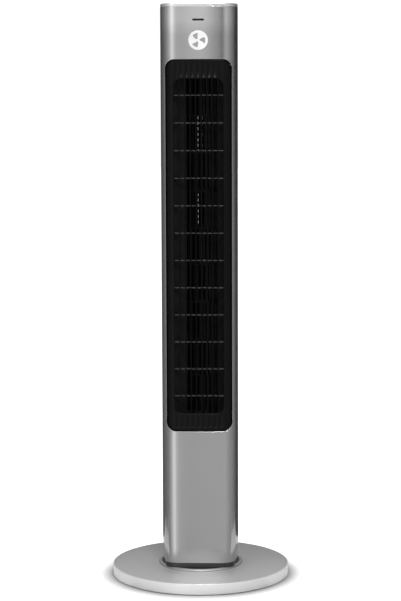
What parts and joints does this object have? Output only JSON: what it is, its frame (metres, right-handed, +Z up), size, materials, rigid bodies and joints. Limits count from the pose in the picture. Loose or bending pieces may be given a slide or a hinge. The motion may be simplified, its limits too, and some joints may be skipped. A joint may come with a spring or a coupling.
{
  "type": "tower fan",
  "caption": "Tall oscillating tower fan with a slim upright casing, a ribbed front outlet grille, a slotted back intake and a round weighted base.",
  "frame": {"origin": "on the floor, at the swivel axis under the middle of the round base", "axes": "+Z up along the swivel axis; the outlet grille faces -Y at rest, +X is to the right seen from the front"},
  "size_m": [0.32, 0.32, 1.031],
  "materials": {
    "silver_shell": "satin metallic paint",
    "bright_trim": "bright metallic paint",
    "satin_cover": "brushed satin grey",
    "black_plastic": "fine-grained moulded black",
    "gloss_black": "polished black",
    "dark_shell": "fine-grained charcoal",
    "button_grey": "satin grey",
    "rubber": "matt black rubber",
    "steel": "zinc-plated sheet and bar",
    "white_print": "white",
    "circuit_board": "solder-masked board",
    "nylon": "natural nylon"
  },
  "bodies": {
    "base": {"base_cover": "satin_cover", "base_rim": "bright_trim", "ballast_plate": "steel", "foot_1": "rubber", "foot_2": "rubber", "foot_3": "rubber", "foot_4": "rubber", "foot_5": "rubber", "base_screw_1": "steel", "base_screw_2": "steel", "base_screw_3": "steel", "collar_ring": "bright_trim", "cord_gland": "rubber", "glide_ring": "nylon", "pivot_tube": "steel", "fixed_gear": "nylon", "retaining_clip": "steel"},
    "tower": {"neck": "black_plastic", "swivel_bush": "nylon", "oscillation_bracket": "steel", "oscillation_motor": "steel", "front_shell": "silver_shell", "rear_shell": "dark_shell", "rear_grille": "black_plastic", "case_screw_1": "steel", "case_screw_2": "steel", "case_screw_3": "steel", "case_screw_4": "steel", "front_grille": "black_plastic", "vane_rack": "black_plastic", "duct_guide": "black_plastic", "duct_tongue": "black_plastic", "motor_plate": "steel", "bearing_plate": "black_plastic", "bearing_holder": "rubber", "top_bearing": "steel", "motor_housing": "steel", "motor_cover": "steel", "stator": "steel", "motor_mount_1": "rubber", "motor_mount_2": "rubber", "motor_mount_3": "rubber", "power_board": "circuit_board", "capacitor": "white_print", "top_cap": "bright_trim", "control_panel": "gloss_black", "control_board": "circuit_board", "signal_window": "gloss_black", "badge": "white_print"},
    "rotor": {"impeller_lower": "black_plastic", "impeller_middle": "black_plastic", "impeller_upper": "black_plastic", "top_stub": "steel", "rotor_core": "steel", "motor_shaft": "steel"},
    "swing_pinion": {"pinion": "nylon"},
    "power_key": {"power_button": "button_grey"},
    "speed_key": {"speed_button": "button_grey"},
    "timer_key": {"timer_button": "button_grey"},
    "swing_key": {"swing_button": "button_grey"}
  },
  "joints": [
    {"name": "oscillation", "type": "hinge", "parent": "base", "child": "tower", "pos_m": [0, 0, 0.024], "axis": [0, 0, 1], "range_deg": [-35, 35]},
    {"name": "impeller_spin", "type": "hinge", "parent": "tower", "child": "rotor", "pos_m": [0.005, 0.012, 0.3], "axis": [0, 0, 1], "continuous": true},
    {"name": "pinion_spin", "type": "hinge", "parent": "tower", "child": "swing_pinion", "pos_m": [0, 0.04125, 0.032], "axis": [0, 0, 1], "range_deg": [-95, 95]},
    {"name": "power_press", "type": "slide", "parent": "tower", "child": "power_key", "axis": [0, 0, -1], "range_m": [0, 0.001], "stiffness_N_per_m": 250},
    {"name": "speed_press", "type": "slide", "parent": "tower", "child": "speed_key", "axis": [0, 0, -1], "range_m": [0, 0.001], "stiffness_N_per_m": 250},
    {"name": "timer_press", "type": "slide", "parent": "tower", "child": "timer_key", "axis": [0, 0, -1], "range_m": [0, 0.001], "stiffness_N_per_m": 250},
    {"name": "swing_press", "type": "slide", "parent": "tower", "child": "swing_key", "axis": [0, 0, -1], "range_m": [0, 0.001], "stiffness_N_per_m": 250}
  ],
  "couplings": [
    {"joint": "pinion_spin", "follows": "oscillation", "ratio": 2.6667}
  ]
}
